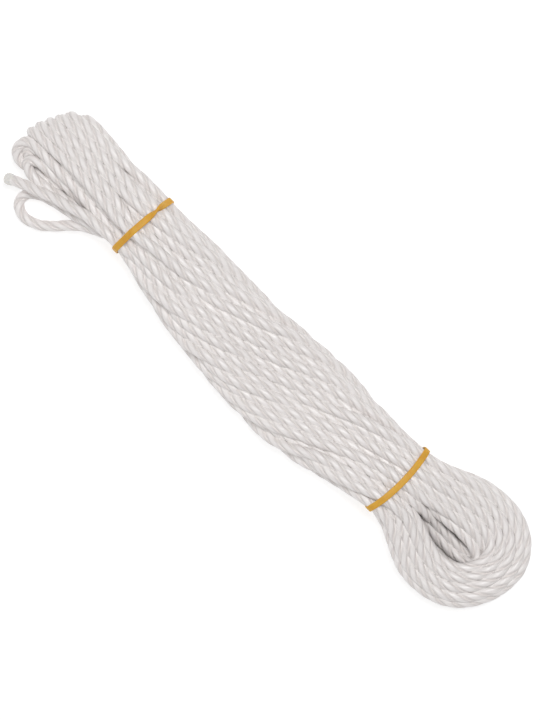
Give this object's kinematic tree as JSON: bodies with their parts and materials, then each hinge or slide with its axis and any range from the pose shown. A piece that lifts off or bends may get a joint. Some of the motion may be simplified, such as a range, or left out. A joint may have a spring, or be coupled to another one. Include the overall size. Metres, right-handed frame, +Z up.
{
  "type": "three-strand rope hank",
  "caption": "Hank of white three-strand laid rope, folded to and fro, open eye at one end, fanned folds and a melted free end at the other, held by rubber bands.",
  "frame": {"origin": "middle of the bounding box, on the surface that the hank lies on", "axes": "+X along the hank from the fanned folds to the open eye, +Y across it, away from the slack loop and the free end, +Z up"},
  "size_m": [0.3776, 0.0846, 0.0407],
  "materials": {
    "rope": "slightly glossy white filament yarn in three right-hand laid strands",
    "rubber_band": "smooth amber natural rubber, slightly see-through"
  },
  "bodies": {
    "root": {"rope_hank": "rope", "rope_tail": "rope", "band_fan": "rubber_band", "band_eye": "rubber_band"}
  },
  "joints": []
}
